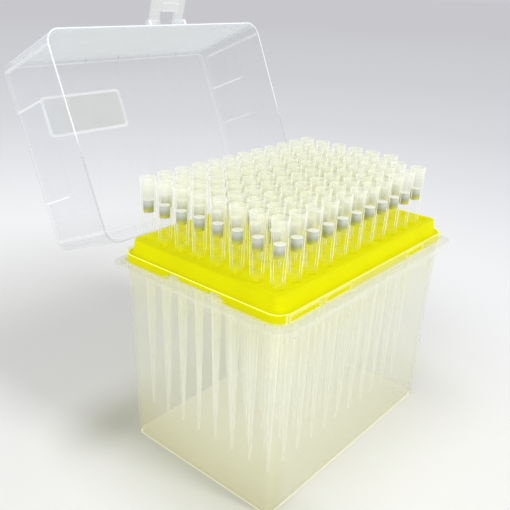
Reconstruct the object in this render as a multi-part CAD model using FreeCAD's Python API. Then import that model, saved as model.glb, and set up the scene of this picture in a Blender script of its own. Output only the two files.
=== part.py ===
import FreeCAD, Part
import math
import os

# Box of long filter tips, in millimetres: X along the long side, Y towards the hinge, Z up.
# The origin is the middle of the base's underside. The lid stands open and the latch is flared.

V = FreeCAD.Vector
X_AXIS = V(1, 0, 0)
Z_AXIS = V(0, 0, 1)

# Tip grid, on the standard nine millimetre pitch
columns = 12
rows = 8
pitch = 9.0
tips_out = {12: (1, 2)}         # column: rows whose tip has been taken, counted from the latch side

# Filter tip
tip_length = 99.5
tip_stand = 24.5                # height of the mouth above the deck
tip_end_gap = 12.9              # from the tip's point to the base's floor
mouth_r = 3.1                   # outside of the rim bead
mouth_bead = 1.2
mouth_bore_r = 2.75
neck_r = 2.95                   # just below the bead
barrel_r = 2.85                 # at the filter's top
shoulder_r = 2.35               # the step that sits on the deck
shank_r = 1.98                  # just below the shoulder
shank_bore_r = 1.5
waist_r = 1.3                   # halfway down the shank
waist_bore_r = 0.95
point_r = 0.45
point_bore_r = 0.22
filter_r = 2.04
filter_fit = 0.05               # between the filter and the bore around it
filter_seat = 0.3               # width of the ledge below the filter
filter_length = 4.6
filter_depth = 8.8              # from the mouth to the filter's top

# Rack insert
deck_t = 1.6
hole_fit = 0.07                 # around a tip's shank
sleeve_wall = 0.9
sleeve_length = 5.0             # below the deck's underside
web_t = 0.8
web_depth = 2.6
deck_margin = 4.6               # from the outer hole axes to the deck's edge
deck_corner_r = 2.5
platform_rise = 5.4             # from the ledge to the deck
platform_draft = 0.9
ledge_w = 2.1
rack_wall = 1.1
skirt_height = 3.8              # from the base's seat to the ledge
notch_half = 14.5               # half the width of the gap for the base's end tab
notch_height = 2.0
slot_length = 5.2               # openings above the notch
slot_height = 1.0
slot_centre = 10.2
deck_edge_round = 0.5

# Base box
wall = 1.2
floor_t = 1.6
base_draft = 1.9                # by which each side leans out from the foot to the flange
foot_round = 1.3
flange_t = 1.2
flange_overhang = 1.0           # beyond the lid's wall
flange_r = 6.0
apron_depth = 3.2               # downturned edge along the two long sides
apron_t = 1.0
lip_t = 0.9
lip_rise = 0.3                  # above the insert's ledge
lip_half = 54.0                 # half the length of the raised lip on the long sides
bead_height = 0.9               # of the lip along the short sides
rack_fit = 0.25                 # between the insert and the lip
tab_gap = 0.3                   # between an end tab and the notch around it
windows = ((-52.5, -36.2), (-32.8, -17.4), (23.8, 37.0))     # openings in the lip, along X
window_sill = 0.9
window_head = 0.8

# Lid
lid_wall = 1.1
lid_fit = 0.6                   # between the lip and the lid's wall
lid_seat_gap = 0.15             # between the flange and the rim
lid_r = 6.2
lid_draft = 1.2
lid_roof = 1.4
lid_round = 2.4
rim_relief = 0.4                # chamfer inside the rim, which swings past the lip
headroom = 5.0                  # above the tips
panel_half = 19.5               # half the width of the sunk panel in each end wall
panel_depth = 0.45
panel_fade = 26.0               # length over which it runs out
rib_pitch = 18.4                # small ribs in the corner of roof and side wall
rib_t = 0.9
rib_size = 1.9
label_x = -24.1
label_y = -16.6
label_length = 42.4
label_width = 18.0
label_corner_r = 1.8
border_w = 1.2
border_h = 0.8
label_t = 0.5
label_fit = 0.15

# Lid hinge
hinge_spread = 64.0             # between the two hinges
hinge_back = 1.4                # axis behind the flange's edge
swing_clearance = 0.2           # between the front tips and the rim swinging over them
pin_r = 1.25
pin_fit = 0.06
knuckle_r = 2.4
ear_width = 10.0
side_fit = 0.3                  # between an ear and the lugs beside it
lug_t = 3.0
lug_gap = 0.3                   # between the lugs and the lid's wall
stop_gap = 0.05                 # between the stops and the lid standing open
stop_length = 4.2
lid_open_deg = 112.7

# Latch
latch_x = 2.2
latch_half = 9.2
latch_t = 1.4
latch_gap = 0.35                # between the latch and the flange's edge
latch_rise = 1.3                # axis above the rim
latch_knuckle_r = 1.2
latch_pin_r = 0.6
latch_pin_fit = 0.05
latch_pin_length = 1.6
latch_lug_t = 1.2
latch_side_fit = 0.2
latch_wall_gap = 0.25
leg_w = 4.85
hook_gap = 0.3                  # between the apron's edge and the hook below it
hook_height = 3.6
hook_proud = 1.3
hook_round = 0.4
taper_start = 9.0               # distances from the latch's axis
taper_turn = 12.5
taper_turn_half = 7.3
latch_length = 18.5
latch_end_half = 5.4
latch_corner_r = 2.0
latch_open_deg = 52.0

# Worked-out places
grid_x = (columns - 1) * pitch / 2
grid_y = (rows - 1) * pitch / 2
deck_z = floor_t + tip_end_gap + tip_length - tip_stand
ledge_z = deck_z - platform_rise
seat_z = ledge_z - skirt_height
tip_top_z = deck_z + tip_stand
deck_x = grid_x + deck_margin
deck_y = grid_y + deck_margin
rack_x = deck_x + platform_draft + ledge_w
rack_y = deck_y + platform_draft + ledge_w
rack_r = deck_corner_r + platform_draft + ledge_w
lip_in_x = rack_x + rack_fit
lip_in_y = rack_y + rack_fit
lip_in_r = rack_r + rack_fit
lip_z = ledge_z + lip_rise
lid_x = lip_in_x + lip_t + lid_fit + lid_wall
lid_y = lip_in_y + lip_t + lid_fit + lid_wall
rim_z = seat_z + lid_seat_gap
lid_top_z = tip_top_z + headroom + lid_roof
flange_x = lid_x + flange_overhang
flange_y = lid_y + flange_overhang
hinge_y = flange_y + hinge_back
hole_r = shank_r + hole_fit
sleeve_r = hole_r + sleeve_wall

# The lid's front wall has to swing over the mouths of the front tips, which sets the hinge's
# height: the mouth's edge stays the clearance short of the leaning wall, both from the axis.
lid_lean = lid_draft / (lid_top_z - rim_z)
lean_length = math.hypot(1, lid_lean)
lean_share = lid_lean / lean_length
front_reach = (hinge_y + lid_y - lid_wall + lid_lean * lid_seat_gap) / lean_length - swing_clearance
mouth_reach = hinge_y + grid_y + mouth_r
mouth_rise = tip_top_z - seat_z
half_b = mouth_rise - front_reach * lean_share
term_a = 1 - lean_share ** 2
term_c = mouth_rise ** 2 + mouth_reach ** 2 - front_reach ** 2
hinge_rise = (half_b - math.sqrt(half_b ** 2 - term_a * term_c)) / term_a
hinge_z = seat_z + hinge_rise
wall_reach = hinge_y - lid_y

latch_y = -(lid_y + latch_wall_gap + latch_knuckle_r)
latch_z = rim_z + latch_rise
latch_face = -(flange_y + latch_gap)
hook_z = seat_z - apron_depth - hook_gap


def rounded_wire(half_x, half_y, radius, z):
    """Closed wire of a rectangle with round corners, centred on the Z axis."""
    edges = []
    corners = ((1, 1, 0), (-1, 1, 90), (-1, -1, 180), (1, -1, 270))
    ends = []
    for sign_x, sign_y, start in corners:
        centre = V(sign_x * (half_x - radius), sign_y * (half_y - radius), z)
        angles = [math.radians(start + turn) for turn in (0, 45, 90)]
        arc = [centre + V(math.cos(angle), math.sin(angle), 0) * radius for angle in angles]
        ends.append((arc[0], arc[2]))
        edges.append(Part.Arc(*arc).toShape())
    for index in range(len(ends)):
        following = ends[(index + 1) % len(ends)]
        edges.append(Part.LineSegment(ends[index][1], following[0]).toShape())
    return Part.Wire(Part.__sortEdges__(edges))


def tapered_block(half_x, half_y, radius, z_low, z_high, grow=0.0):
    """Block with round corners whose sides lean out by grow from the bottom to the top."""
    low = rounded_wire(half_x, half_y, radius, z_low)
    high = rounded_wire(half_x + grow, half_y + grow, radius + grow, z_high)
    return Part.makeLoft([low, high], True, True)


def cuboid(x_low, x_high, y_low, y_high, z_low, z_high):
    return Part.makeBox(x_high - x_low, y_high - y_low, z_high - z_low, V(x_low, y_low, z_low))


def prism_x(points, x_low, x_high):
    """Prism along X on a polygon of (y, z) points."""
    outline = [V(x_low, y, z) for y, z in points]
    face = Part.Face(Part.makePolygon(outline + outline[:1]))
    return face.extrude(V(x_high - x_low, 0, 0))


def prism_y(points, y_low, y_high):
    """Prism along Y on a polygon of (x, z) points."""
    outline = [V(x, y_low, z) for x, z in points]
    face = Part.Face(Part.makePolygon(outline + outline[:1]))
    return face.extrude(V(0, y_high - y_low, 0))


def rod_x(y, z, radius, x_low, x_high):
    return Part.makeCylinder(radius, x_high - x_low, V(x_low, y, z), X_AXIS)


def turned(points, x=0.0, y=0.0):
    """Solid of revolution about the vertical through (x, y), from (radius, z) points."""
    outline = [V(x + radius, y, z) for radius, z in points]
    face = Part.Face(Part.makePolygon(outline + outline[:1]))
    return face.revolve(V(x, y, 0), Z_AXIS, 360)


def edges_at(shape, z, slack=0.01):
    """Edges that lie wholly at one height."""
    return [edge for edge in shape.Edges
            if abs(edge.BoundBox.ZMin - z) < slack and abs(edge.BoundBox.ZMax - z) < slack]


def one_solid(shape):
    clean = shape.removeSplitter()
    return clean.Solids[0] if len(clean.Solids) == 1 else clean


def grid_places(column):
    """Axes of the holes in one column, from the latch side."""
    x = -grid_x + (column - 1) * pitch
    return [(x, -grid_y + row * pitch) for row in range(rows)]


def filled_places(column):
    gone = tips_out.get(column, ())
    return [place for row, place in enumerate(grid_places(column), start=1) if row not in gone]


def filter_tip():
    """Hollow tip on the Z axis, at its height in the box."""
    filter_top = tip_top_z - filter_depth
    filter_foot = filter_top - filter_length
    point_z = tip_top_z - tip_length
    waist_z = (deck_z + point_z) / 2
    bore_r = filter_r + filter_fit
    return turned([
        (mouth_bore_r, tip_top_z),
        (mouth_r, tip_top_z),
        (mouth_r, tip_top_z - mouth_bead),
        (neck_r, tip_top_z - mouth_bead),
        (barrel_r, filter_top),
        (shoulder_r, deck_z),
        (shank_r, deck_z),
        (waist_r, waist_z),
        (point_r, point_z),
        (point_bore_r, point_z),
        (waist_bore_r, waist_z),
        (shank_bore_r, deck_z),
        (bore_r - filter_seat, filter_foot),
        (bore_r, filter_foot),
        (bore_r, filter_top),
    ])


def tip_filter():
    """Porous plug on the Z axis, inside the tip."""
    foot = tip_top_z - filter_depth - filter_length
    return Part.makeCylinder(filter_r, filter_length, V(0, 0, foot), Z_AXIS)


def column_of(piece, column):
    copies = [piece.translated(V(x, y, 0)) for x, y in filled_places(column)]
    return Part.makeCompound(copies)


def tip_rack():
    foot_x = deck_x + platform_draft
    foot_y = deck_y + platform_draft
    foot_r = deck_corner_r + platform_draft
    platform = tapered_block(foot_x, foot_y, foot_r, ledge_z, deck_z, -platform_draft)
    platform = platform.makeFillet(deck_edge_round, edges_at(platform, deck_z))
    hollow = tapered_block(foot_x - rack_wall, foot_y - rack_wall, foot_r - rack_wall,
                           seat_z, deck_z - deck_t, -platform_draft)
    ledge = tapered_block(rack_x, rack_y, rack_r, seat_z, ledge_z)
    ledge = ledge.makeFillet(deck_edge_round, edges_at(ledge, ledge_z))
    under = tapered_block(rack_x - rack_wall, rack_y - rack_wall, rack_r - rack_wall,
                          seat_z, ledge_z - rack_wall)
    rack = platform.fuse(ledge).cut(under.fuse(hollow))

    webs = []
    web_low = deck_z - deck_t - web_depth
    reach_x = deck_x - rack_wall / 2
    reach_y = deck_y - rack_wall / 2
    for column in range(columns):
        x = -grid_x + column * pitch
        webs.append(cuboid(x - web_t / 2, x + web_t / 2, -reach_y, reach_y, web_low, deck_z - deck_t))
    for row in range(rows):
        y = -grid_y + row * pitch
        webs.append(cuboid(-reach_x, reach_x, y - web_t / 2, y + web_t / 2, web_low, deck_z - deck_t))
    sleeves = []
    holes = []
    sleeve_low = deck_z - deck_t - sleeve_length
    sleeve_height = sleeve_length + deck_t / 2
    hole_height = sleeve_length + 3 * deck_t
    for column in range(1, columns + 1):
        for x, y in grid_places(column):
            sleeves.append(Part.makeCylinder(sleeve_r, sleeve_height, V(x, y, sleeve_low)))
            holes.append(Part.makeCylinder(hole_r, hole_height, V(x, y, sleeve_low - deck_t)))
    rack = rack.fuse(webs + sleeves).cut(holes)

    cuts = []
    for end in (-1, 1):
        inner, outer = sorted((end * (rack_x - rack_wall - ledge_w / 2), end * (rack_x + rack_wall)))
        cuts.append(cuboid(inner, outer, -notch_half, notch_half,
                           seat_z - rack_wall, seat_z + notch_height))
        slot_low = seat_z + notch_height + (skirt_height - rack_wall - notch_height - slot_height) / 2
        for side in (-1, 1):
            middle = side * slot_centre
            cuts.append(cuboid(inner, outer, middle - slot_length / 2, middle + slot_length / 2,
                               slot_low, slot_low + slot_height))
    return one_solid(rack.cut(cuts))


def hinge_places():
    return (-hinge_spread / 2, hinge_spread / 2)


def base_lug():
    """Profile of a hinge lug: round at the axis, footed on the flange, with the lid's stop behind."""
    lean = math.radians(180 - lid_open_deg)
    up = (math.cos(lean), math.sin(lean))
    along = (math.sin(lean), -math.cos(lean))
    height = wall_reach - stop_gap
    near = (hinge_y + height * up[0], hinge_z + height * up[1])
    far = (near[0] + stop_length * along[0], near[1] + stop_length * along[1])
    radius = wall_reach - lug_gap
    low = seat_z - apron_depth
    return radius, [
        (hinge_y, hinge_z),
        near,
        far,
        (far[0], seat_z),
        (hinge_y + radius / 2, low),
        (flange_y - apron_t, low),
        (flange_y - apron_t, seat_z - flange_t / 2),
        (hinge_y - radius, seat_z - flange_t / 2),
        (hinge_y - radius, hinge_z),
    ]


def base_box():
    foot_x = rack_x - base_draft
    foot_y = rack_y - base_draft
    foot_r = rack_r - base_draft
    tub = tapered_block(foot_x, foot_y, foot_r, 0, seat_z, base_draft)
    tub = tub.makeFillet(foot_round, edges_at(tub, 0))
    slope = base_draft / seat_z
    hollow = tapered_block(foot_x - wall + slope * floor_t, foot_y - wall + slope * floor_t,
                           foot_r - wall + slope * floor_t, floor_t, seat_z, slope * (seat_z - floor_t))

    flange = tapered_block(flange_x, flange_y, flange_r, seat_z - flange_t, seat_z)
    apron = tapered_block(flange_x, flange_y, flange_r, seat_z - apron_depth, seat_z)
    apron_in = cuboid(-flange_x, flange_x, apron_t - flange_y, flange_y - apron_t, 0, lip_z)
    apron_ends = [cuboid(*sorted((end * (flange_x - flange_r), end * 2 * flange_x)), -flange_y, flange_y, 0,
                         seat_z - flange_t / 2) for end in (-1, 1)]
    apron = apron.cut([apron_in] + apron_ends)
    lip = tapered_block(lip_in_x + lip_t, lip_in_y + lip_t, lip_in_r + lip_t, seat_z - flange_t / 2, lip_z)
    lip = lip.cut(tapered_block(lip_in_x, lip_in_y, lip_in_r, 0, lip_z))
    low_ends = [cuboid(*sorted((end * lip_half, end * flange_x)), -flange_y, flange_y,
                       seat_z + bead_height, lip_z) for end in (-1, 1)]
    openings = [cuboid(left, right, -flange_y, flange_y, seat_z + window_sill, lip_z - window_head)
                for left, right in windows]
    lip = lip.cut(low_ends + openings)

    tabs = []
    for end in (-1, 1):
        near, far = sorted((end * (rack_x - rack_wall), end * (lip_in_x + lip_t)))
        tabs.append(cuboid(near, far, tab_gap - notch_half, notch_half - tab_gap,
                           seat_z - flange_t / 2, seat_z + notch_height - tab_gap))

    radius, profile = base_lug()
    lugs = []
    notches = []
    for x in hinge_places():
        half_ear = ear_width / 2 + side_fit
        for side in (-1, 1):
            near, far = sorted((x + side * half_ear, x + side * (half_ear + lug_t)))
            lugs.append(prism_x(profile, near, far))
            lugs.append(rod_x(hinge_y, hinge_z, radius, near, far))
        notches.append(cuboid(x - half_ear, x + half_ear, lid_y - lid_fit, hinge_y + radius,
                              seat_z - apron_depth, lip_z))
        notches.append(rod_x(hinge_y, hinge_z, pin_r + pin_fit, x - half_ear - lug_t, x + half_ear + lug_t))

    box = tub.fuse([flange, apron, lip] + tabs + lugs).cut([hollow] + notches)
    return one_solid(box)


def open_lid(shape):
    """Swing a piece of the closed lid to where the lid stands open."""
    return shape.rotated(V(0, hinge_y, hinge_z), X_AXIS, -lid_open_deg)


def lid_ear(x):
    """Arm on the lid's back wall with a knuckle and a pin at each end of it."""
    low = rim_z - hinge_z
    root = lid_y - lid_wall / 2
    arm = prism_x([(root, rim_z + rim_relief), (root, hinge_z + 2 * knuckle_r),
                   (hinge_y, hinge_z + knuckle_r), (hinge_y, hinge_z - knuckle_r),
                   (hinge_y + low, rim_z), (root, rim_z)], x - ear_width / 2, x + ear_width / 2)
    knuckle = rod_x(hinge_y, hinge_z, knuckle_r, x - ear_width / 2, x + ear_width / 2)
    half_pin = ear_width / 2 + side_fit + lug_t
    return arm.fuse([knuckle, rod_x(hinge_y, hinge_z, pin_r, x - half_pin, x + half_pin)])


def latch_lugs():
    """The two ears on the lid's front wall, with the short pins that the latch turns on."""
    pieces = []
    near = latch_half + latch_side_fit
    for side in (-1, 1):
        ends = sorted((latch_x + side * near, latch_x + side * (near + latch_lug_t)))
        pieces.append(cuboid(*ends, latch_y, lid_wall / 2 - lid_y, latch_z - latch_knuckle_r,
                             latch_z + latch_knuckle_r))
        pieces.append(rod_x(latch_y, latch_z, latch_knuckle_r, *ends))
        pin = sorted((latch_x + side * near, latch_x + side * (near - latch_side_fit - latch_pin_length)))
        pieces.append(rod_x(latch_y, latch_z, latch_pin_r, *pin))
    return pieces


def label_block(inset, z_low, z_high):
    block = tapered_block(label_length / 2 - inset, label_width / 2 - inset, label_corner_r, z_low, z_high)
    return block.translated(V(label_x, label_y, 0))


def lid():
    shell = tapered_block(lid_x, lid_y, lid_r, rim_z, lid_top_z, -lid_draft)
    shell = shell.makeFillet(lid_round, edges_at(shell, lid_top_z))
    roof_z = lid_top_z - lid_roof
    inner_x = lid_x - lid_wall
    inner_y = lid_y - lid_wall
    inner_r = lid_r - lid_wall
    hollow = tapered_block(inner_x, inner_y, inner_r, rim_z, roof_z, -lid_lean * (roof_z - rim_z))
    hollow = hollow.makeFillet(lid_round - lid_wall, edges_at(hollow, roof_z))
    relief = tapered_block(inner_x + rim_relief, inner_y + rim_relief, inner_r + rim_relief,
                           rim_z, rim_z + rim_relief, -rim_relief)

    panels = []
    for end in (-1, 1):
        top_x = lid_x - lid_draft
        clear_x = lid_x + lid_wall
        panels.append(prism_y([(end * (top_x - panel_depth), lid_top_z), (end * clear_x, lid_top_z),
                               (end * clear_x, lid_top_z - panel_fade),
                               (end * (top_x + lid_lean * panel_fade), lid_top_z - panel_fade)],
                              -panel_half, panel_half))

    ribs = []
    count = int(lid_x / rib_pitch)
    roof_y = inner_y - lid_draft
    bite = lid_wall / 2
    for index in range(-count + 1, count):
        middle = index * rib_pitch
        for side in (-1, 1):
            ribs.append(prism_x([(side * (roof_y + bite), roof_z + bite),
                                 (side * (roof_y - rib_size), roof_z + bite),
                                 (side * (roof_y - rib_size), roof_z),
                                 (side * roof_y, roof_z - rib_size),
                                 (side * (roof_y + bite), roof_z - rib_size)],
                                middle - rib_t / 2, middle + rib_t / 2))

    border = label_block(0, lid_top_z - lid_roof / 2, lid_top_z + border_h)
    border = border.cut(label_block(border_w, lid_top_z, lid_top_z + border_h))
    ears = [lid_ear(x) for x in hinge_places()]
    shape = shell.fuse(ears + latch_lugs()).cut([hollow, relief] + panels).fuse(ribs + [border])
    return one_solid(open_lid(shape))


def label_plate():
    return open_lid(label_block(border_w + label_fit, lid_top_z, lid_top_z + label_t))


def latch():
    """Legs, hook and finger tab, hanging shut, then flared and swung open with the lid."""
    back = latch_face - latch_t
    taper_z = latch_z - taper_start
    turn_z = latch_z - taper_turn
    end_z = latch_z - latch_length
    plate = prism_y([(-latch_half, latch_z), (latch_half, latch_z), (latch_half, taper_z),
                     (taper_turn_half, turn_z), (latch_end_half, end_z), (-latch_end_half, end_z),
                     (-taper_turn_half, turn_z), (-latch_half, taper_z)], back, latch_face)
    corners = [edge for edge in plate.Edges
               if edge.BoundBox.YLength > latch_t / 2 and edge.BoundBox.ZMax < latch_z - taper_start / 2]
    plate = plate.makeFillet(latch_corner_r, corners)
    inner = latch_half - leg_w
    knuckles = [rod_x(latch_y, latch_z, latch_knuckle_r, *sorted((side * inner, side * latch_half)))
                for side in (-1, 1)]
    hook = prism_x([(latch_face - latch_t / 2, hook_z), (latch_face + hook_proud, hook_z),
                    (latch_face + hook_proud, hook_z - hook_height + hook_round),
                    (latch_face + hook_proud - hook_round, hook_z - hook_height),
                    (latch_face - latch_t / 2, hook_z - hook_height)], -inner, inner)
    gap = cuboid(-inner, inner, back - latch_t, latch_y + latch_knuckle_r,
                 hook_z, latch_z + latch_knuckle_r)
    bores = []
    bore_in = latch_half - latch_pin_length - latch_side_fit
    bore_out = latch_half + latch_side_fit
    for side in (-1, 1):
        ends = sorted((side * bore_in, side * bore_out))
        bores.append(rod_x(latch_y, latch_z, latch_pin_r + latch_pin_fit, *ends))
    shape = one_solid(plate.fuse(knuckles + [hook]).cut([gap] + bores))
    shape = shape.rotated(V(0, latch_y, latch_z), X_AXIS, -latch_open_deg)
    return open_lid(shape.translated(V(latch_x, 0, 0)))


def build():
    pieces = {"base_box": base_box(), "tip_rack": tip_rack(), "lid": lid(),
              "label_plate": label_plate(), "latch": latch()}
    tip = filter_tip()
    plug = tip_filter()
    for column in range(1, columns + 1):
        pieces[f"tips_column_{column:02d}"] = column_of(tip, column)
        pieces[f"filters_column_{column:02d}"] = column_of(plug, column)
    return pieces


os.makedirs("parts", exist_ok=True)
for name, shape in build().items():
    shape.exportStep(f"parts/{name}.step")
    print(name, "solids", len(shape.Solids), "volume", round(shape.Volume, 1), "valid", shape.isValid())
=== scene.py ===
import bmesh
import bpy
import math
from mathutils import Matrix, Quaternion, Vector

# Box of filter tips: the moulded pieces come from the frame, and this script gives them
# their plastics, the studio around them and the camera. Lengths are in metres.

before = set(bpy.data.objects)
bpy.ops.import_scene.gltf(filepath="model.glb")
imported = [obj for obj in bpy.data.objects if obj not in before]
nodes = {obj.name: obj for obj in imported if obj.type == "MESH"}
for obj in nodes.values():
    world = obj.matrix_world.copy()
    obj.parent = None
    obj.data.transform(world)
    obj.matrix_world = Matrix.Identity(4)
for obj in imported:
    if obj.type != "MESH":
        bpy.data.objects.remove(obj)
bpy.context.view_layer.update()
print("frame loaded:", len(nodes), "nodes")


def screenColour(red, green, blue):
    parts = [part / 255 for part in (red, green, blue)]
    linear = [part / 12.92 if part <= 0.04045 else ((part + 0.055) / 1.055) ** 2.4
              for part in parts]
    return (*linear, 1.0)


cornerTurn = (0.01, 0.12)                       # how far a normal has turned from a flat on a round edge
crispStep = 0.0001                              # height over which a mask changes at a sharp edge


class Signal:                                   # a node's output that can stand in a sum
    def __init__(self, finish, socket):
        self.finish = finish
        self.socket = socket

    def __add__(self, other):
        return self.finish.maths("ADD", self, other)

    def __sub__(self, other):
        return self.finish.maths("SUBTRACT", self, other)

    def __rsub__(self, other):
        return self.finish.maths("SUBTRACT", other, self)

    def __mul__(self, other):
        return self.finish.maths("MULTIPLY", self, other)

    def __rmul__(self, other):
        return self.finish.maths("MULTIPLY", other, self)

    def __truediv__(self, other):
        return self.finish.maths("DIVIDE", self, other)

    def __pow__(self, other):
        return self.finish.maths("POWER", self, other)

    def __radd__(self, other):
        return self.finish.maths("ADD", other, self)

    def __abs__(self):
        return self.finish.maths("ABSOLUTE", self)


class Finish:                                   # one material, or the world, and the nodes that make it
    def __init__(self, name, owner=None):
        self.material = owner or bpy.data.materials.new(name)
        self.material.use_nodes = True
        self.tree = self.material.node_tree
        self.tree.nodes.clear()

    def node(self, kind, settings=None, inputs=None, output=0):
        made = self.tree.nodes.new(kind)
        for key, value in (settings or {}).items():
            if key == "stops":
                ramp = made.color_ramp.elements
                while len(ramp) < len(value):
                    ramp.new(0.5)
                for element, (position, colour) in zip(ramp, value):
                    element.position = position
                    element.color = colour
            else:
                setattr(made, key, value)
        for key, value in (inputs or {}).items():
            if isinstance(value, Signal):
                self.tree.links.new(value.socket, made.inputs[key])
            else:
                made.inputs[key].default_value = value
        return Signal(self, made.outputs[output]) if made.outputs else None

    def maths(self, operation, *values):
        return self.node("ShaderNodeMath", {"operation": operation}, dict(enumerate(values)))

    def place(self):
        return self.node("ShaderNodeTexCoord", output="Object")

    def normal(self):
        return self.node("ShaderNodeTexCoord", output="Normal")

    def facing(self):                           # 0 where the surface faces the eye, 1 at its outline
        return self.node("ShaderNodeLayerWeight", output="Facing")

    def turn(self, vector, kind="POINT", angle=0.0, centre=(0, 0, 0), scale=(1, 1, 1)):
        spin = Matrix.Rotation(angle, 3, "X")
        shift = Vector(centre) - spin @ Vector(centre)
        inputs = {"Vector": vector, "Rotation": (angle, 0, 0), "Scale": scale}
        if kind == "POINT":
            inputs["Location"] = shift
        return self.node("ShaderNodeMapping", {"vector_type": kind}, inputs)

    def axis(self, vector, name):
        return self.node("ShaderNodeSeparateXYZ", inputs={"Vector": vector}, output=name)

    def noise(self, vector, scale, detail):
        return self.node("ShaderNodeTexNoise", inputs={
            "Vector": vector, "Scale": scale, "Detail": detail, "Roughness": 0.55})

    def largest(self, first, *others):
        for other in others:
            first = self.maths("MAXIMUM", first, other)
        return first

    def fade(self, value, low, high, start=0.0, end=1.0):       # clamped, smooth step from low to high
        return self.node("ShaderNodeMapRange", {"interpolation_type": "SMOOTHSTEP"}, {
            "Value": value, "From Min": low, "From Max": high, "To Min": start, "To Max": end})

    def blend(self, share, first, second):
        return self.node("ShaderNodeMix", {"data_type": "RGBA"}, {0: share, 6: first, 7: second}, 2)

    def pick(self, share, first, second):       # for numbers what blend is for colours
        return share * (second - first) + first

    def bump(self, height, strength, depth):
        return self.node("ShaderNodeBump", inputs={
            "Height": height, "Strength": strength, "Distance": depth})

    def lit(self, alpha, share):                # the alpha is lower by this share for a lamp's rays
        return alpha * (1 - self.node("ShaderNodeLightPath", output="Is Shadow Ray") * share)

    def box(self, place, halfX, halfY, corner): # grows from 0 to corner at a rounded box's wall
        beyond = [self.largest(abs(self.axis(place, name)) - (half - corner), 0.0)
                  for name, half in (("X", halfX), ("Y", halfY))]
        return (beyond[0] * beyond[0] + beyond[1] * beyond[1]) ** 0.5

    def turned(self, normal):                   # 0 on the flats of a box, more on its round edges
        return 1 - self.largest(*(abs(self.axis(normal, name)) for name in "XYZ"))

    def surface(self, **inputs):
        names = {"baseColor": "Base Color", "specular": "Specular IOR Level", "alpha": "Alpha",
                 "roughness": "Roughness", "normal": "Normal", "emission": "Emission Color",
                 "strength": "Emission Strength"}
        return self.show(self.node("ShaderNodeBsdfPrincipled",
                                   inputs={names[key]: value for key, value in inputs.items()}))

    def show(self, shader, kind="ShaderNodeOutputMaterial"):
        self.node(kind, inputs={"Surface": shader})
        return self.material


def dress(material, *names):
    for name in names:
        mesh = nodes[name].data
        mesh.materials.clear()
        mesh.materials.append(material)


columnNames = [f"{number:02d}" for number in range(1, 13)]

base = {"milk": screenColour(225, 227, 215), "cream": screenColour(224, 220, 186),
        "leftShade": screenColour(208, 203, 150), "edgeHighlight": screenColour(254, 254, 236),
        "crest": screenColour(255, 255, 150), "flange": screenColour(229, 231, 222),
        "rackGlowTint": screenColour(232, 231, 96), "plate": screenColour(231, 230, 214),
        "litFootLine": screenColour(248, 247, 222), "dark": screenColour(0, 0, 0),
        "seatZ": 0.0803, "lipZ": 0.0844, "flangeZ": 0.077, "insideY": 0.0393,
        "lowZ": (0.045, 0.004), "leftShadeZ": (0.04, 0.0), "leftShadeX": (-0.044, -0.051),
        "edgeZ": (0.06, 0.074), "plateZ": (0.005, 0.004), "plateTurn": (0.7, 0.9),
        "underZ": (0.0006, 0.0003), "cutTurn": (0.6, 0.3), "yellowFoot": 0.052,
        "lipFootRise": (0.0016, 0.0006), "cloud": (38.0, 4.0), "fine": (1500.0, 3.0),
        "tint": {"low": 0.25, "cloud": 0.15, "leftShade": 0.6, "edge": 0.3, "flange": 0.5,
                 "crest": 0.9, "plate": 0.8},
        "yellow": {"wall": 0.22, "longSide": 0.14, "lip": 0.24, "lipFoot": 0.3, "endLip": 0.15,
                   "most": 0.8},
        "alpha": {"wall": 0.17, "outline": 0.16, "cloud": 0.08, "edge": 0.05, "low": 0.02,
                  "plate": 0.45},
        "lipAlpha": {"plain": 0.06, "outline": 0.15, "cut": 0.35, "crest": 0.2, "foot": 0.25},
        "glow": 0.03, "plateGlow": 0.035, "footGlow": 0.3, "shadow": (0.0, 0.03, -0.2, 0.45),
        "roughness": 0.32, "roughSpread": 0.12, "bump": (0.25, 0.00012)}


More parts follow.
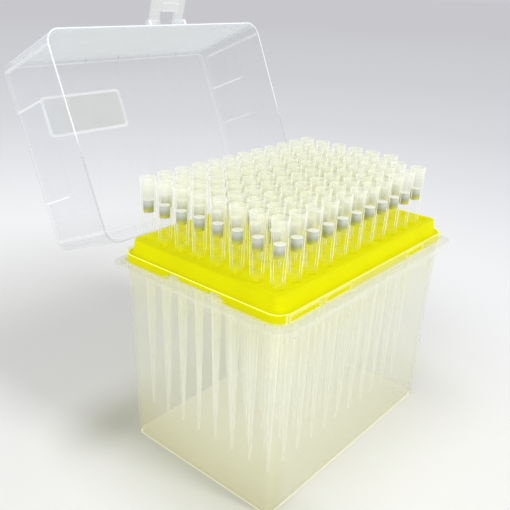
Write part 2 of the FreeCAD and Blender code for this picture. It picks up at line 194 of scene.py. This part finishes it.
def basePlastic():
    finish = Finish("milkyPlastic")
    tint, yellow, alphas, lipAlphas = base["tint"], base["yellow"], base["alpha"], base["lipAlpha"]
    place = finish.place()
    normal = finish.normal()
    height = finish.axis(place, "Z")
    cloud = finish.noise(place, *base["cloud"])
    fine = finish.noise(place, *base["fine"])
    low = finish.fade(height, *base["lowZ"])
    longSide = finish.fade(abs(finish.axis(place, "Y")),
                           base["insideY"] - crispStep * 2, base["insideY"] - crispStep)
    wallFacing = finish.pick(longSide, abs(finish.axis(normal, "X")), abs(finish.axis(normal, "Y")))
    aboveSeat = finish.fade(height, base["seatZ"] + crispStep, base["seatZ"] + crispStep * 2)
    cut = aboveSeat * finish.fade(wallFacing, *base["cutTurn"])      # ends of the lip and its windows
    crest = finish.fade(height, base["lipZ"] - crispStep * 2, base["lipZ"] - crispStep)
    edge = finish.fade(finish.turned(normal), *cornerTurn) * finish.fade(height, *base["edgeZ"])
    outline = finish.facing() ** 2.0
    colour = finish.blend(low * tint["low"] + cloud * tint["cloud"], base["milk"], base["cream"])
    # painted shade: the left end is darker and olive towards its foot
    leftEnd = finish.fade(finish.axis(place, "X"), *base["leftShadeX"])
    leftShade = finish.fade(height, *base["leftShadeZ"]) * leftEnd * tint["leftShade"]
    colour = finish.blend(leftShade, colour, base["leftShade"])
    # painted highlight: the lip's cut ends and windows and the round edges are lighter
    colour = finish.blend(finish.largest(cut, edge * tint["edge"]), colour, base["edgeHighlight"])
    lipFoot = aboveSeat * finish.fade(height, *(base["seatZ"] + rise for rise in base["lipFootRise"]))
    endLip = aboveSeat * (1 - longSide)
    near = finish.fade(height, base["yellowFoot"], base["seatZ"])
    near = near * (yellow["wall"] - longSide * yellow["longSide"])
    near = near + aboveSeat * yellow["lip"] + lipFoot * yellow["lipFoot"] + endLip * yellow["endLip"]
    near = finish.maths("MINIMUM", near, yellow["most"])
    colour = finish.blend(near, colour, base["rackGlowTint"])           # painted yellow light from the rack: the wall below it and the lip over it are tinted as if its colour came through
    flange = finish.fade(height, base["flangeZ"] - crispStep * 2, base["flangeZ"]) * (1 - aboveSeat)
    colour = finish.blend(flange * tint["flange"], colour, base["flange"])
    colour = finish.blend(crest * tint["crest"], colour, base["crest"])      # light along the lip's top
    wall = alphas["wall"] + outline * alphas["outline"] + cloud * alphas["cloud"] + edge * alphas["edge"]
    level = finish.fade(abs(finish.axis(normal, "Z")), *base["plateTurn"])
    plate = finish.fade(height, *base["plateZ"]) * level
    colour = finish.blend(plate * tint["plate"], colour, base["plate"])      # thicker than the walls, and painted lighter
    under = plate * finish.fade(height, *base["underZ"])             # painted light: the pale bottom face glows, a light line along the foot
    colour = finish.blend(under, colour, base["litFootLine"])
    wall = finish.largest(wall + low * alphas["low"] + plate * alphas["plate"], under)
    # painted light: the plastic glows a little, the plate and the foot line more
    light = finish.largest(under * base["footGlow"], plate * base["plateGlow"], base["glow"])
    glow = finish.blend(light, base["dark"], colour)
    lip = lipAlphas["plain"] + outline * lipAlphas["outline"] + cut * lipAlphas["cut"]
    lip = lip + crest * lipAlphas["crest"] + lipFoot * lipAlphas["foot"]
    alpha = finish.pick(aboveSeat, wall, lip)
    alpha = finish.lit(alpha, finish.fade(height, *base["shadow"]))
    return finish.surface(baseColor=colour, alpha=alpha, emission=glow, strength=1.0,
                          roughness=base["roughness"] + cloud * base["roughSpread"],
                          normal=finish.bump(fine, *base["bump"]))


rack = {"yellow": screenColour(172, 171, 0), "deep": screenColour(166, 163, 0),
        "outerGlow": screenColour(172, 171, 0), "innerGlow": screenColour(184, 183, 0),
        "shine": screenColour(255, 255, 150), "glow": 0.8, "gloss": 0.05,
        "deckZ": 0.0895, "ledgeZ": 0.0841, "halfX": 0.0571, "halfY": 0.0391, "cornerR": 0.0055,
        "upTurn": (0.4, 0.9), "shineWidth": 0.0006, "shineShare": 0.9, "endX": (0.0525, 0.0545),
        "wallDepth": (0.0012, 0.0016), "underDepth": 0.0006, "patches": (0.35, 0.7),
        "cloud": (55.0, 4.0), "grain": (2200.0, 4.0), "roughness": 0.5, "roughSpread": 0.14,
        "bump": (0.22, 0.00006)}


def rackPlastic():
    finish = Finish("yellowMoulding")
    place = finish.place()
    height = finish.axis(place, "Z")
    cloud = finish.noise(place, *rack["cloud"])
    grain = finish.noise(place, *rack["grain"])
    upward = finish.fade(finish.axis(finish.normal(), "Z"), *rack["upTurn"])
    reach = finish.box(place, rack["halfX"], rack["halfY"], rack["cornerR"])
    rimmed = finish.fade(reach, rack["cornerR"] - rack["shineWidth"],
                         rack["cornerR"] - rack["shineWidth"] / 2)
    ledge = finish.fade(abs(height - rack["ledgeZ"]), crispStep * 3, crispStep)
    ends = finish.fade(abs(finish.axis(place, "X")), *rack["endX"])
    shine = rimmed * ledge * upward * ends      # light on the ledge's outer edge at the short ends
    inner = finish.fade(reach, *(rack["cornerR"] - depth for depth in rack["wallDepth"]))
    under = inner * finish.fade(height, rack["deckZ"] - crispStep, rack["deckZ"] - rack["underDepth"])
    colour = finish.blend(finish.fade(cloud, *rack["patches"]), rack["yellow"], rack["deep"])
    deck = finish.fade(height, rack["deckZ"] - crispStep * 3, rack["deckZ"] - crispStep)
    # painted light: the rack glows, a little more on the deck and inside the holes
    glow = finish.blend(finish.largest(under, deck), rack["outerGlow"], rack["innerGlow"])
    colour = finish.blend(shine * rack["shineShare"], colour, rack["shine"])
    return finish.surface(baseColor=colour, specular=rack["gloss"], emission=glow,
                          strength=rack["glow"], normal=finish.bump(grain, *rack["bump"]),
                          roughness=rack["roughness"] + grain * rack["roughSpread"])


lid = {"clear": screenColour(192, 195, 203), "highlightWhite": screenColour(250, 251, 252),
       "rimShade": screenColour(128, 130, 134), "front": screenColour(237, 242, 251),
       "openAngle": math.radians(112.7), "hinge": (0.0, 0.04435, 0.082801), "rimZ": 0.08045,
       "topZ": 0.1204, "halfX": 0.05995, "halfY": 0.04195, "cornerR": 0.006, "rimLine": 0.00045,
       "rimRise": (0.0005, 0.0003), "borderRise": (0.00008, 0.00012), "endTurn": (0.8, 0.95),
       "panelHalf": 0.0195, "panelFoot": 0.0944, "panelFade": 0.006, "lineWidth": 0.00028,
       "lineEdge": 1.6, "middleY": 0.0005, "middleX": (0.05, 0.055), "middleShare": 0.8,
       "creaseStart": (0.0004, 0.003), "creaseEnd": (0.05, 0.012), "creaseShare": 0.7,
       "rearY": (-0.004, 0.012), "frontY": (-0.0385, -0.0405), "frontEdgeY": (-0.035, -0.038),
       "frontEdgeZ": (0.1, 0.112), "outlinePower": 2.5, "rimShadeShare": 0.8, "frontShare": 0.8,
       "alpha": {"plain": 0.03, "frontCrease": 0.35, "rim": 0.3, "frontOutline": 0.4,
                 "front": 0.16, "cloud": 0.05, "flow": 0.04, "outline": 0.4, "edge": 0.04,
                 "line": 0.26, "border": 0.3},
       "cloud": (30.0, 3.0), "flow": (90.0, 4.0), "flowStretch": (1.0, 0.25, 1.0),
       "flowPatches": (0.5, 0.75), "fine": (900.0, 3.0), "roughness": 0.12, "roughSpread": 0.1,
       "glow": 0.1, "shadow": 0.5, "bump": (0.15, 0.0001)}


def lidPlastic():
    finish = Finish("clearPlastic")
    alphas = lid["alpha"]
    closed = finish.turn(finish.place(), angle=lid["openAngle"], centre=lid["hinge"])
    normal = finish.turn(finish.normal(), "VECTOR", lid["openAngle"])    # both as if the lid were shut
    height = finish.axis(closed, "Z")
    depth = finish.axis(closed, "Y")
    cloud = finish.noise(closed, *lid["cloud"])
    flow = finish.noise(finish.turn(closed, scale=lid["flowStretch"]), *lid["flow"])
    fine = finish.noise(closed, *lid["fine"])
    reach = finish.box(closed, lid["halfX"], lid["halfY"], lid["cornerR"])
    outside = finish.fade(reach, lid["cornerR"] - lid["rimLine"] - crispStep,
                          lid["cornerR"] - lid["rimLine"])
    rim = finish.fade(height, *(lid["rimZ"] + rise for rise in lid["rimRise"])) * outside
    border = finish.fade(height, *(lid["topZ"] + rise for rise in lid["borderRise"]))
    endWall = finish.fade(abs(finish.axis(normal, "X")), *lid["endTurn"])
    lineFade = (lid["lineWidth"] * lid["lineEdge"], lid["lineWidth"])
    panel = finish.fade(abs(abs(depth) - lid["panelHalf"]), *lineFade)
    rightEnd = finish.fade(finish.axis(closed, "X"), *lid["middleX"])
    middle = finish.fade(abs(depth + lid["middleY"]), *lineFade) * rightEnd          # a pale line along the middle of the right end
    panel = finish.largest(panel, middle * lid["middleShare"]) * endWall
    panel = panel * finish.fade(height, lid["panelFoot"], lid["panelFoot"] + lid["panelFade"])
    turned = finish.turned(normal)
    crease = finish.fade(turned, *lid["creaseStart"]) * finish.fade(turned, *lid["creaseEnd"])
    edge = finish.fade(turned, *cornerTurn)
    outline = finish.facing() ** lid["outlinePower"]
    rear = finish.fade(depth, *lid["rearY"])    # painted shade: near the hinge the rim is painted grey
    line = finish.largest(panel, crease * lid["creaseShare"], rim)
    # painted highlights and sheen: white along the panel lines, round edges, rim and top border, and
    # towards the outline
    colour = finish.blend(finish.largest(line, outline, border), lid["clear"], lid["highlightWhite"])
    colour = finish.blend(rim * rear * lid["rimShadeShare"], colour, lid["rimShade"])
    front = finish.fade(depth, *lid["frontY"])                       # the wall that carries the latch, painted lighter and bluish as if lit
    colour = finish.blend(front * lid["frontShare"], colour, lid["front"])
    frontCrease = crease * finish.fade(depth, *lid["frontEdgeY"]) * finish.fade(height, *lid["frontEdgeZ"])
    alpha = alphas["plain"] + frontCrease * alphas["frontCrease"] + rim * (1 - rear) * alphas["rim"]
    alpha = alpha + front * (outline * alphas["frontOutline"] + alphas["front"]) + cloud * alphas["cloud"]
    alpha = alpha + finish.fade(flow, *lid["flowPatches"]) * alphas["flow"]
    alpha = alpha + outline * alphas["outline"] + edge * alphas["edge"]
    alpha = alpha + line * alphas["line"] + border * alphas["border"]
    return finish.surface(baseColor=colour, alpha=finish.lit(alpha, lid["shadow"]),
                          roughness=lid["roughness"] + cloud * lid["roughSpread"], emission=colour,
                          strength=lid["glow"], normal=finish.bump(fine, *lid["bump"]))


label = {"light": screenColour(228, 229, 226), "shaded": screenColour(212, 214, 211),
         "frost": (2600.0, 4.0), "cloud": (120.0, 3.0), "alpha": 0.38, "alphaSpread": 0.15,
         "roughness": 0.5, "roughSpread": 0.2, "bump": (0.5, 0.0001)}


def labelPlastic():
    finish = Finish("frostedPlastic")
    place = finish.place()
    frost = finish.noise(place, *label["frost"])
    cloud = finish.noise(place, *label["cloud"])
    colour = finish.blend(cloud, label["light"], label["shaded"])
    return finish.surface(baseColor=colour, alpha=label["alpha"] + cloud * label["alphaSpread"],
                          roughness=label["roughness"] + frost * label["roughSpread"],
                          normal=finish.bump(frost, *label["bump"]))


latch = {"clear": screenColour(228, 230, 232), "edge": screenColour(252, 252, 252),
         "cloud": (160.0, 3.0), "fine": (1400.0, 3.0), "alpha": 0.24, "outlineAlpha": 0.6,
         "cloudAlpha": 0.1, "roughness": 0.15, "roughSpread": 0.1, "glow": 0.1, "bump": (0.2, 0.0001)}


def latchPlastic():
    finish = Finish("latchPlastic")
    place = finish.place()
    cloud = finish.noise(place, *latch["cloud"])
    fine = finish.noise(place, *latch["fine"])
    outline = finish.facing() ** 2.0
    # painted sheen: whiter towards the outline
    colour = finish.blend(outline, latch["clear"], latch["edge"])
    alpha = latch["alpha"] + outline * latch["outlineAlpha"] + cloud * latch["cloudAlpha"]
    return finish.surface(baseColor=colour, alpha=alpha, emission=colour, strength=latch["glow"],
                          roughness=latch["roughness"] + cloud * latch["roughSpread"],
                          normal=finish.bump(fine, *latch["bump"]))


tips = {"clear": screenColour(230, 232, 217), "low": screenColour(200, 201, 172),
        "edge": screenColour(254, 254, 248), "glow": screenColour(224, 223, 0),
        "mouthZ": 0.114, "filterTop": 0.1052, "filterFoot": 0.1006, "deckZ": 0.0895,
        "hubRise": (-0.0008, 0.0022), "highRise": 0.0065, "rimDepth": (0.0013, 0.0011),
        "seatRise": (0.004, 0.0002), "shankDepth": 0.006, "sheenTurn": (0.42, 0.8),
        "alpha": {"plain": 0.005, "hub": 0.22, "rim": 0.05, "shank": 0.14, "glow": 0.12,
                  "cloud": 0.01, "sheen": 0.6, "hubSheen": 0.2},
        "cloud": (240.0, 2.0), "light": 0.13, "gloss": 0.2, "shadow": 0.55,
        "roughness": 0.15, "roughSpread": 0.1, "bump": (0.1, 0.0001)}


def tipPlastic():
    finish = Finish("tipPlastic")
    alphas = tips["alpha"]
    place = finish.place()
    height = finish.axis(place, "Z")
    cloud = finish.noise(place, *tips["cloud"])
    hub = finish.fade(height, *(tips["filterTop"] + rise for rise in tips["hubRise"]))
    high = finish.fade(height, tips["filterTop"], tips["filterTop"] + tips["highRise"])
    rim = finish.fade(height, *(tips["mouthZ"] - depth for depth in tips["rimDepth"]))
    seated = finish.fade(height, *(tips["deckZ"] + rise for rise in tips["seatRise"]))
    shank = finish.fade(height, tips["deckZ"], tips["deckZ"] - tips["shankDepth"])
    glow = seated * (1 - shank)                 # painted yellow light: the deck's yellow is painted into the clear wall that stands on it, over its dark hole
    sheen = finish.fade(finish.facing(), *tips["sheenTurn"]) * (1 - glow)
    colour = finish.blend(finish.largest(high, shank), tips["low"], tips["clear"])
    colour = finish.blend(sheen, colour, tips["edge"])
    colour = finish.blend(glow, colour, tips["glow"])
    alpha = alphas["plain"] + hub * alphas["hub"] + rim * alphas["rim"] + shank * alphas["shank"]
    alpha = alpha + glow * alphas["glow"] + cloud * alphas["cloud"]
    alpha = alpha + sheen * finish.pick(hub, alphas["sheen"], alphas["hubSheen"])
    return finish.surface(baseColor=colour, alpha=finish.lit(alpha, tips["shadow"]),
                          roughness=tips["roughness"] + cloud * tips["roughSpread"],
                          specular=tips["gloss"], emission=colour, strength=tips["light"],
                          normal=finish.bump(cloud, *tips["bump"]))


plug = {"low": screenColour(146, 151, 124), "high": screenColour(196, 201, 190),
        "foot": screenColour(208, 207, 60), "top": screenColour(254, 254, 248),
        "pore": screenColour(190, 194, 176), "poreScale": 4200.0, "poreEdge": (0.5, 0.1),
        "poreShare": 0.25, "topTurn": (0.4, 0.8), "footRise": (0.0024, 0.0002), "footShare": 0.8,
        "bodyStart": 0.0008, "bodyEnd": 0.0006, "cloud": (900.0, 3.0), "gloss": 0.2,
        "roughness": 0.75, "roughSpread": 0.2, "bump": (0.6, 0.00012)}


def filterPlug():
    finish = Finish("porousFilter")
    place = finish.place()
    height = finish.axis(place, "Z")
    pores = finish.node("ShaderNodeTexVoronoi", inputs={"Vector": place, "Scale": plug["poreScale"]})
    cloud = finish.noise(place, *plug["cloud"])
    top = finish.fade(finish.axis(finish.normal(), "Z"), *plug["topTurn"])
    upper = finish.fade(height, tips["filterFoot"] + plug["bodyStart"], tips["filterTop"] - plug["bodyEnd"])
    # painted shade: the white filter's sides are grey-green, darker towards the bottom; its top stays white
    shadedSides = finish.blend(upper, plug["low"], plug["high"])
    foot = finish.fade(height, *(tips["filterFoot"] + rise for rise in plug["footRise"]))
    shadedSides = finish.blend(foot * plug["footShare"], shadedSides, plug["foot"])        # lit yellow from the deck
    colour = finish.blend(top, shadedSides, plug["top"])
    colour = finish.blend(finish.fade(pores, *plug["poreEdge"]) * plug["poreShare"], colour, plug["pore"])
    return finish.surface(baseColor=colour, roughness=plug["roughness"] + cloud * plug["roughSpread"],
                          specular=plug["gloss"], normal=finish.bump(pores, *plug["bump"]))


dress(basePlastic(), "base_box")
dress(rackPlastic(), "tip_rack")
dress(lidPlastic(), "lid")
dress(labelPlastic(), "label_plate")
dress(latchPlastic(), "latch")
dress(tipPlastic(), *("tips_column_" + number for number in columnNames))
dress(filterPlug(), *("filters_column_" + number for number in columnNames))
print("plastics done")

studio = {"floorRadius": 14.0, "floorSides": 128, "worldLight": 0.52,
          "floor": screenColour(243, 243, 243), "sky": screenColour(203, 203, 207),
          "roughness": 0.6, "gloss": 0.1, "paintedShadow": screenColour(178, 179, 158),
          "paintedShadowReach": 0.048, "paintedShadowShare": 0.25, "foot": (0.0552, 0.0372, 0.0036),
          "leftX": (-0.03, -0.055), "behindY": (0.03, 0.055), "behindShare": 2,
          "sweepCentre": (-0.04, 0.06, 0.0), "sweepFade": (0.13, 0.28), "far": 3.0,
          "sweep": ((0.0, (246, 246, 247)), (0.2, (247, 248, 249)), (0.3, (241, 242, 244)),
                    (0.47, (228, 229, 233)), (0.7, (216, 217, 221)), (1.2, (207, 208, 212)),
                    (3.0, (200, 200, 204))),
          "aim": (0, 0, 0.08),
          "lamps": {"keyLamp": {"place": (0.15, -1.04, 0.85), "size": 0.25, "power": 8.2},
                    "fillLamp": {"place": (-1.05, -0.2, 0.6), "size": 1.0, "power": 6.5}}}


def studioRays(finish):                         # 1 for what the eye, a reflection or clear plastic shows
    return finish.largest(*(finish.node("ShaderNodeLightPath", output=name) for name in (
        "Is Camera Ray", "Is Glossy Ray", "Is Transmission Ray")))


def studioFloor():
    shape = bmesh.new()
    bmesh.ops.create_circle(shape, cap_ends=True, segments=studio["floorSides"],
                            radius=studio["floorRadius"])
    mesh = bpy.data.meshes.new("studioFloor")
    shape.to_mesh(mesh)
    shape.free()
    floor = bpy.data.objects.new("studioFloor", mesh)
    bpy.context.scene.collection.objects.link(floor)
    finish = Finish("paleSweep")
    place = finish.place()
    reach = finish.node("ShaderNodeVectorMath", {"operation": "DISTANCE"},
                        {0: place, 1: studio["sweepCentre"]}, "Value")
    stops = [(distance / studio["far"], screenColour(*shade)) for distance, shade in studio["sweep"]]
    shade = finish.node("ShaderNodeValToRGB", {"stops": stops}, {"Fac": reach / studio["far"]})
    paintedShadow = finish.fade(finish.box(place, *studio["foot"]), studio["paintedShadowReach"], 0.0,
                          0.0, studio["paintedShadowShare"])           # painted shadow: darker close to the box's foot
    left = finish.fade(finish.axis(place, "X"), *studio["leftX"])
    behind = finish.fade(finish.axis(place, "Y"), *studio["behindY"])
    # the painted shadow is deeper at the left end and behind the box
    paintedShadow = paintedShadow * (left + behind * studio["behindShare"] + 1)
    shaded = finish.blend(paintedShadow, studio["floor"], studio["paintedShadow"])
    near = finish.node("ShaderNodeBsdfPrincipled", inputs={
        "Base Color": shaded, "Roughness": studio["roughness"], "Specular IOR Level": studio["gloss"]})
    far = finish.node("ShaderNodeEmission", inputs={"Color": shade, "Strength": 1.0})
    seen = finish.fade(reach, *studio["sweepFade"]) * studioRays(finish)
    finish.show(finish.node("ShaderNodeMixShader", inputs={0: seen, 1: near, 2: far}))
    mesh.materials.append(finish.material)


def studioLamp(name, place, size, power):
    data = bpy.data.lights.new(name, "AREA")
    data.shape = "SQUARE"
    data.size = size
    data.energy = power
    lamp = bpy.data.objects.new(name, data)
    lamp.location = place
    lamp.rotation_euler = (Vector(studio["aim"]) - Vector(place)).to_track_quat("-Z", "Y").to_euler()
    bpy.context.scene.collection.objects.link(lamp)


def studioWorld():
    world = bpy.data.worlds.new("studioWorld")
    bpy.context.scene.world = world
    finish = Finish("studioWorld", world)
    light = finish.node("ShaderNodeBackground", inputs={
        "Color": (1, 1, 1, 1), "Strength": studio["worldLight"]})
    seen = finish.node("ShaderNodeBackground", inputs={"Color": studio["sky"], "Strength": 1.0})
    mix = finish.node("ShaderNodeMixShader", inputs={0: studioRays(finish), 1: light, 2: seen})
    finish.show(mix, "ShaderNodeOutputWorld")


studioFloor()
studioWorld()
for lampName, lampValues in studio["lamps"].items():
    studioLamp(lampName, **lampValues)
print("studio done")

view = {"place": (-0.20177, -0.14891, 0.18100), "azimuth": 50.073, "elevation": 22.566, "roll": 2.136,
        "lens": 46.05, "sensor": 36.0, "nearest": 0.01}


def studioCamera():
    data = bpy.data.cameras.new("studioCamera")
    data.lens = view["lens"]
    data.sensor_width = view["sensor"]
    data.clip_start = view["nearest"]
    camera = bpy.data.objects.new("studioCamera", data)
    level = math.radians(view["elevation"])
    heading = math.radians(90 - view["azimuth"])
    forward = Vector((math.cos(heading) * math.cos(level), math.sin(heading) * math.cos(level),
                      -math.sin(level)))
    camera.location = view["place"]
    camera.rotation_mode = "QUATERNION"
    roll = Quaternion((0, 0, 1), math.radians(view["roll"]))
    camera.rotation_quaternion = forward.to_track_quat("-Z", "Y") @ roll
    bpy.context.scene.collection.objects.link(camera)
    bpy.context.scene.camera = camera


studioCamera()
bpy.context.scene.view_settings.view_transform = "Standard"
bpy.context.scene.cycles.transparent_max_bounces = 96   # rows of clear tips stand behind each other
print("camera done")
